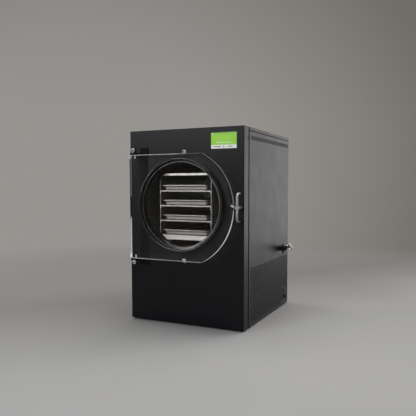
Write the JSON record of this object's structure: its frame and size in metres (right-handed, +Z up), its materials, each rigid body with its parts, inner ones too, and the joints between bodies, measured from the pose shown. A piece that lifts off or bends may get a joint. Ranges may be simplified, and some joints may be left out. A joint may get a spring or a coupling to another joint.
{
  "type": "freeze dryer",
  "caption": "Black countertop freeze dryer: clear acrylic door with a bar latch over a round vacuum chamber that holds a tray rack, with a screen and perforated sides.",
  "frame": {"origin": "on the floor, below the middle of the cabinet", "axes": "+X to the right as one faces the door, +Y to the back, +Z up"},
  "size_m": [0.5413, 0.5686, 0.724],
  "materials": {
    "black_coat": "semi-gloss black powder coat, fine texture",
    "frame_coat": "matt black coat",
    "zinc_steel": "plain zinc-coated sheet",
    "stainless": "satin stainless steel",
    "shelf_aluminium": "bright satin aluminium",
    "clear_acrylic": "clear polished acrylic",
    "black_rubber": "smooth black rubber",
    "foot_rubber": "matt black rubber",
    "bright_steel": "polished steel",
    "satin_steel": "satin silver bar",
    "black_plastic": "black moulded plastic",
    "black_fitting": "black coated fitting",
    "screen_green": "lit touch screen, green",
    "bezel_black": "glossy black",
    "board_green": "green circuit board",
    "pot_black": "black enamel",
    "copper": "drawn copper tube",
    "foam": "closed-cell foam",
    "silicone": "orange silicone sheet"
  },
  "bodies": {
    "cabinet": {"front_panel": "black_coat", "front_frame": "frame_coat", "base_pan": "zinc_steel", "left_side_panel": "black_coat", "right_side_panel": "black_coat", "rear_panel": "black_coat", "top_cover": "black_coat", "rubber_feet": "foot_rubber", "front_screws": "bright_steel", "panel_screws": "frame_coat", "chamber_shell": "stainless", "chamber_mounting_ring": "zinc_steel", "chamber_gasket": "black_rubber", "chamber_cradle": "zinc_steel", "insulation_jacket": "foam", "evaporator_coil": "copper", "hinge_bracket": "frame_coat", "hinge_pins": "bright_steel", "latch_bearing": "black_plastic", "display_bezel": "bezel_black", "display_screen": "screen_green", "control_board": "board_green", "rack_top_cap": "shelf_aluminium", "rack_bottom_pan": "shelf_aluminium", "rack_runners": "black_plastic", "heater_mats": "silicone", "compressor": "pot_black", "compressor_grommets": "foot_rubber", "condenser_coil": "shelf_aluminium", "fan_shroud": "zinc_steel", "fan_motor": "pot_black", "filter_drier": "copper", "suction_tube": "copper", "discharge_tube": "copper", "liquid_tube": "copper", "power_supply": "zinc_steel", "power_inlet": "black_plastic", "vacuum_bulkhead": "black_fitting", "valve_body": "black_fitting", "port_cap": "bright_steel", "outlet_ferrule": "bright_steel", "vacuum_pipe": "stainless", "drain_line": "black_plastic", "rack_side_left": "shelf_aluminium", "rack_side_right": "shelf_aluminium", "rack_shelf_1": "shelf_aluminium", "rack_shelf_2": "shelf_aluminium", "rack_shelf_3": "shelf_aluminium", "tray_1": "stainless", "tray_2": "stainless", "tray_3": "stainless", "tray_4": "stainless"},
    "door": {"door_plate": "clear_acrylic", "door_dowels": "bright_steel", "hinge_leaves": "frame_coat"},
    "latch": {"latch_handle": "satin_steel", "latch_finger": "bright_steel"},
    "port_lever": {"valve_lever": "black_fitting"},
    "rocker": {"power_rocker": "black_plastic"},
    "fan": {"fan_blade": "black_plastic"}
  },
  "joints": [
    {"name": "door_hinge", "type": "hinge", "parent": "cabinet", "child": "door", "pos_m": [-0.2005, -0.2935, 0.4378], "axis": [0, 0, -1], "range_deg": [0, 110]},
    {"name": "latch_turn", "type": "hinge", "parent": "cabinet", "child": "latch", "pos_m": [0.2214, -0.264, 0.441], "axis": [0, 1, 0], "range_deg": [-15, 0]},
    {"name": "port_lever_turn", "type": "hinge", "parent": "cabinet", "child": "port_lever", "pos_m": [0.255, 0.129, 0.2555], "axis": [0, 1, 0], "range_deg": [0, 90]},
    {"name": "rocker_tip", "type": "hinge", "parent": "cabinet", "child": "rocker", "pos_m": [0.231, 0.216, 0.0605], "axis": [0, -1, 0], "range_deg": [0, 14]},
    {"name": "fan_spin", "type": "hinge", "parent": "cabinet", "child": "fan", "pos_m": [-0.062, 0.173, 0.1015], "axis": [0, 1, 0], "continuous": true}
  ]
}
